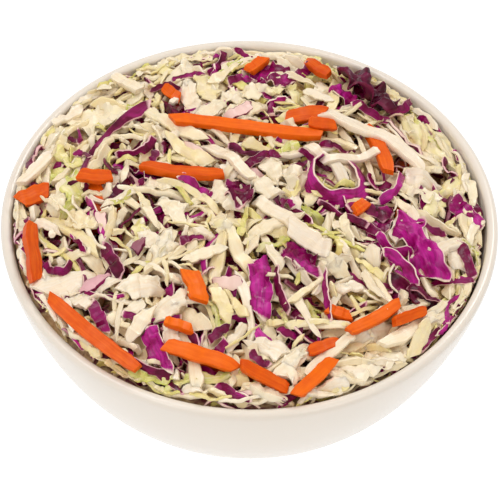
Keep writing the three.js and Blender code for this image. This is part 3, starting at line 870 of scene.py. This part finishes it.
for name in layingOrder:
    for x, y, turn, length, width, bend, roll, *tone in standouts[name]:
        twist = rng.uniform(-standoutTwist, standoutTwist)
        layShred(name, x, y, math.radians(turn), length, width, bend, roll, twist, *tone, standout=True)
print("heap:", sum(len(places) for places in standouts.values()), "pieces that stand out")

for name in ("fill", "strands"):
    print("heap:", name, "layer,", scatter(layers[name]), "small pieces")


crowded = crowdedHeight()


def makePiece(name, part):
    points = np.concatenate(part["points"])
    # painted shade in crevices: a place lower than the pieces around it is darkened, on top of the painted
    # shade by depth
    under = crowded[cells(points[:, 0], points[:, 1])] - points[:, 2] - creviceShade["free"]
    shade = creviceShade["most"] * np.clip(under / creviceShade["depth"], 0, 1)
    part["paintedshade"] = [np.maximum(np.concatenate(part["paintedshade"]), shade)]
    points = points * mm
    faces = np.concatenate(part["faces"])
    mesh = bpy.data.meshes.new(name)
    mesh.vertices.add(len(points))
    mesh.vertices.foreach_set("co", points.astype(np.float32).ravel())
    mesh.loops.add(faces.size)
    mesh.loops.foreach_set("vertex_index", faces.ravel().astype(np.int32))
    mesh.polygons.add(len(faces))
    mesh.polygons.foreach_set("loop_start", np.arange(0, faces.size, 4, dtype=np.int32))
    mesh.update(calc_edges=True)
    mesh.validate()
    mesh.shade_smooth()
    mesh.set_sharp_from_angle(angle=math.radians(38))
    fibre = mesh.attributes.new("fibre", "FLOAT_VECTOR", "POINT")
    fibre.data.foreach_set("vector", np.concatenate(part["fibre"]).astype(np.float32).ravel())
    for key in ("tone", "rind", "paintedshade"):
        layerData = mesh.attributes.new(key, "FLOAT", "POINT")
        layerData.data.foreach_set("value", np.concatenate(part[key]).astype(np.float32))
    print("piece:", name, len(part["points"]), "shreds,", 2 * len(faces), "triangles")
    return newObject(name, mesh)


# Materials of the vegetables


def makeFibreGroup():
    # streaks along a shred, soft mottling over it, and the height of both
    group = bpy.data.node_groups.new("fibreStreaks", "ShaderNodeTree")
    face = group.interface
    for name, value in (("Streak Length", 7.0), ("Streak Width", 0.5), ("Mottle Size", 3.0)):
        socket = face.new_socket(name=name, in_out="INPUT", socket_type="NodeSocketFloat")
        socket.default_value = value
    for name in ("Streaks", "Mottle", "Height", "Tone", "Rind", "PaintedShade"):
        face.new_socket(name=name, in_out="OUTPUT", socket_type="NodeSocketFloat")
    inside = addNode(group, "NodeGroupInput").outputs
    place = addNode(group, "ShaderNodeAttribute", attribute_name="fibre")
    parts = addNode(group, "ShaderNodeSeparateXYZ", {"Vector": place.outputs["Vector"]}).outputs

    def noise(length, width, detail, roughness):
        stretched = addNode(group, "ShaderNodeCombineXYZ", {
            "X": calculate(group, "DIVIDE", parts["X"], inside[length]),
            "Y": calculate(group, "DIVIDE", parts["Y"], inside[width]),
            "Z": parts["Z"],
        })
        return addNode(group, "ShaderNodeTexNoise", {"Vector": stretched.outputs["Vector"], "Scale": 1.0,
            "Detail": detail, "Roughness": roughness}).outputs["Fac"]

    streaks = noise("Streak Length", "Streak Width", 3.0, 0.6)
    mottle = noise("Mottle Size", "Mottle Size", 2.0, 0.5)
    height = calculate(group, "ADD", streaks, calculate(group, "MULTIPLY", mottle, 1.2))
    outputs = {"Streaks": streaks, "Mottle": mottle, "Height": height}
    for name in ("Tone", "Rind", "PaintedShade"):
        value = addNode(group, "ShaderNodeAttribute", attribute_name=name.lower())
        outputs[name] = value.outputs["Fac"]
    addNode(group, "NodeGroupOutput", outputs)
    return group


fibreGroup = makeFibreGroup()

vegetableLooks = {
    "cabbageRibs": {
        "tones": [(0.0, (243, 231, 213)), (0.4, (241, 229, 203)), (0.75, (240, 226, 192)),
        (1.0, (237, 221, 166))],
        "streak": (236, 212, 172), "streakShare": 0.5,
        "fibre": {"Streak Length": 9.0, "Streak Width": 0.7, "Mottle Size": 3.5},
        "roughness": (0.15, 0.36), "bump": 0.3, "gloss": 0.65, "patchy": 0.7, "inside": 0.4,
        "insideReach": (0.0014, 0.0013, 0.0012),
    },
    "cabbageRibbons": {
        "tones": [(0.0, (242, 230, 209)), (0.45, (240, 227, 194)), (0.8, (236, 222, 156)),
        (1.0, (210, 206, 112))],
        "streak": (232, 210, 146), "streakShare": 0.4,
        "fibre": {"Streak Length": 8.0, "Streak Width": 0.5, "Mottle Size": 3.0},
        "roughness": (0.17, 0.38), "bump": 0.3, "gloss": 0.65, "patchy": 0.7, "inside": 0.25,
        "insideReach": (0.0008, 0.0007, 0.0006),
    },
    "cabbageLeaves": {
        "tones": [(0.0, (242, 230, 208)), (0.5, (239, 226, 186)), (0.8, (230, 220, 144)),
        (1.0, (202, 206, 104))],
        "streak": (246, 232, 208), "streakShare": 0.6,
        "fibre": {"Streak Length": 12.0, "Streak Width": 1.4, "Mottle Size": 4.0},
        "roughness": (0.15, 0.36), "bump": 0.4, "gloss": 0.6, "patchy": 0.7, "inside": 0.15,
        "insideReach": (0.0006, 0.0005, 0.0004),
    },
    "carrotSticks": {
        "tones": [(0.0, (236, 105, 5)), (0.5, (220, 87, 2)), (1.0, (202, 70, 1))],
        "streak": (252, 130, 30), "streakShare": 0.35,
        "fibre": {"Streak Length": 14.0, "Streak Width": 0.8, "Mottle Size": 3.0},
        "roughness": (0.3, 0.5), "bump": 0.18, "gloss": 0.26, "patchy": 0.8, "inside": 0.25,
        "insideReach": (0.0010, 0.0007, 0.0004),
    },
    "redCabbage": {
        "tones": [(0.0, (70, 0, 26)), (0.35, (112, 0, 58)), (0.7, (150, 2, 98)), (1.0, (196, 36, 152))],
        "flesh": [(0.1, (112, 24, 62)), (0.25, (222, 168, 180)), (0.5, (236, 204, 196)),
        (1.0, (246, 228, 210))],
        "streak": (74, 2, 50), "streakShare": 0.5,
        "fibre": {"Streak Length": 9.0, "Streak Width": 0.8, "Mottle Size": 5.0},
        "roughness": (0.18, 0.4), "bump": 0.32, "gloss": 0.4, "patchy": 1.5, "inside": 0.1,
        "insideReach": (0.0006, 0.0004, 0.0005),
    },
}


# Painted shade between the shreds: how it darkens and warms what lies deeper
sunkShade = [(0.1, (255, 255, 255)), (0.4, (249, 226, 198)), (0.85, (208, 124, 80))]


def vegetableMaterial(name):
    look = vegetableLooks[name]
    material, tree, shader = newMaterial(name + "Look")
    fibre = addNode(tree, "ShaderNodeGroup", look["fibre"], node_tree=fibreGroup).outputs
    patches = calculate(tree, "SUBTRACT", fibre["Mottle"], 0.5)
    patches = calculate(tree, "MULTIPLY", patches, look["patchy"])
    colour = colourRamp(tree, look["tones"], calculate(tree, "ADD", fibre["Tone"], patches))
    share = mapRange(tree, fibre["Streaks"], (0.42, 0.68), (0, look["streakShare"]))
    colour = mixColour(tree, share, colour, look["streak"])
    if "flesh" in look:
        flesh = colourRamp(tree, look["flesh"], fibre["Tone"])
        uneven = calculate(tree, "SUBTRACT", fibre["Streaks"], 0.5)
        uneven = calculate(tree, "MULTIPLY", uneven, 0.5)
        edge = mapRange(tree, calculate(tree, "ADD", fibre["Rind"], uneven), (0.35, 0.75), (0, 1))
        colour = mixColour(tree, edge, colour, flesh)
    # painted shade, multiplied into the colour
    shade = colourRamp(tree, sunkShade, fibre["PaintedShade"])
    bump = addNode(tree, "ShaderNodeBump",
        {"Height": fibre["Height"], "Strength": look["bump"], "Distance": 0.0005})
    feed(tree, shader, {
        "Base Color": mixColour(tree, 1.0, colour, shade, "MULTIPLY"),
        "Roughness": mapRange(tree, fibre["Mottle"], (0.3, 0.7), look["roughness"]),
        "Normal": bump.outputs["Normal"],
        "Subsurface Weight": look["inside"],
        "Subsurface Radius": look["insideReach"],
        "Subsurface Scale": 1.0,
        "IOR": 1.42,
        "Specular IOR Level": look["gloss"],
    })
    return material


# the core shows only in the gaps between shreds: its colours are the slaw's, darker and browner as painted
# shade
shadedCoreLook = {
    "colours": [(0.3, (186, 136, 90)), (0.48, (226, 196, 148)), (0.6, (124, 34, 70)),
        (0.75, (218, 178, 126))],
    "roughness": 0.6,
}


def coreMaterial(look=shadedCoreLook):
    material, tree, shader = newMaterial("slawCorePaintedShadeLook")
    place = addNode(tree, "ShaderNodeTexCoord").outputs["Object"]
    patches = addNode(tree, "ShaderNodeTexNoise", {"Vector": place, "Scale": 160.0, "Detail": 3.0})
    feed(tree, shader, {
        "Base Color": colourRamp(tree, look["colours"], patches.outputs["Fac"]),
        "Roughness": look["roughness"],
    })
    return material


core = makeCore()
core.data.materials.append(coreMaterial())
heapPieces = [core]
for name, part in meshParts.items():
    piece = makePiece(name, part)
    piece.data.materials.append(vegetableMaterial(name))
    heapPieces.append(piece)
for piece in heapPieces:
    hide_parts("coleslaw")
    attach(piece, "root")
print("heap: dressed")

# Floor, lights and camera

studio = {
    "floorColour": (108, 107, 106),
    "floorGlow": 0.93,
    "worldColour": (255, 246, 236),
    "worldStrength": 0.59,
    "lampAim": (0, 0, 0.05),
    "lamps": {  # place and size in metres, power in watts
        "keyLeft": {"place": (-0.48, 0.1, 1.36), "size": (0.62, 0.62), "power": 5.5},
        "frontRight": {"place": (0.6, -0.8, 0.95), "size": (0.5, 0.4), "power": 1.9},
        "frontLeft": {"place": (-0.6, -0.8, 0.95), "size": (0.4, 0.4), "power": 2.2},
        "backRight": {"place": (0.45, 0.75, 1.1), "size": (0.4, 0.3), "power": 4.0},
    },
}


def makeStudio(s=studio):
    bpy.ops.mesh.primitive_plane_add(size=6, location=(0, 0, 0))
    floor = bpy.context.object
    floor.name = "studioFloor"
    material, tree, shader = newMaterial("studioFloorLook")
    feed(tree, shader, {
        "Base Color": (*linear(s["floorColour"]), 1),
        "Roughness": 0.8,
        "Emission Color": (1, 1, 1, 1),
        "Emission Strength": s["floorGlow"],
    })
    floor.data.materials.append(material)
    world = bpy.data.worlds.new("studioWorld")
    world.use_nodes = True
    colour = (*linear(s["worldColour"]), 1)
    background = world.node_tree.nodes["Background"]
    feed(world.node_tree, background, {"Color": colour, "Strength": s["worldStrength"]})
    scene.world = world
    for name, lamp in s["lamps"].items():
        light = bpy.data.lights.new(name, "AREA")
        light.shape = "RECTANGLE"
        light.size, light.size_y = lamp["size"]
        light.energy = lamp["power"]
        holder = newObject(name, light)
        holder.location = lamp["place"]
        away = Vector(lamp["place"]) - Vector(s["lampAim"])
        holder.rotation_euler = away.to_track_quat("Z", "Y").to_euler()
    scene.view_settings.view_transform = "Standard"


cameraSetup = {
    "elevation": 48.98,  # degrees above the rim's plane
    "distance": 0.540,  # metres from the rim's middle
    "aim": (0.0004, 0, 0.04804),
    "lens": 107.06,  # millimetres, on a 36 mm sensor
    "roll": 1.525,  # degrees
}


def makeCamera(c=cameraSetup):
    camera = newObject("photoCamera", bpy.data.cameras.new("photoCamera"))
    scene.camera = camera
    camera.data.lens = c["lens"]
    camera.data.sensor_width = 36
    camera.data.clip_start, camera.data.clip_end = 0.01, 20
    elevation = math.radians(c["elevation"])
    sight = Vector((0, -math.cos(elevation), math.sin(elevation)))
    place = Vector((0, 0, bowlSizes["rimHeight"] * mm)) + c["distance"] * sight
    turn = (place - Vector(c["aim"])).to_track_quat("Z", "Y").to_matrix()
    turn = turn @ Matrix.Rotation(math.radians(c["roll"]), 3, "Z")
    camera.matrix_world = Matrix.Translation(place) @ turn.to_4x4()


makeStudio()
makeCamera()
print("studio: floor, lights and camera")

bpy.context.view_layer.update()
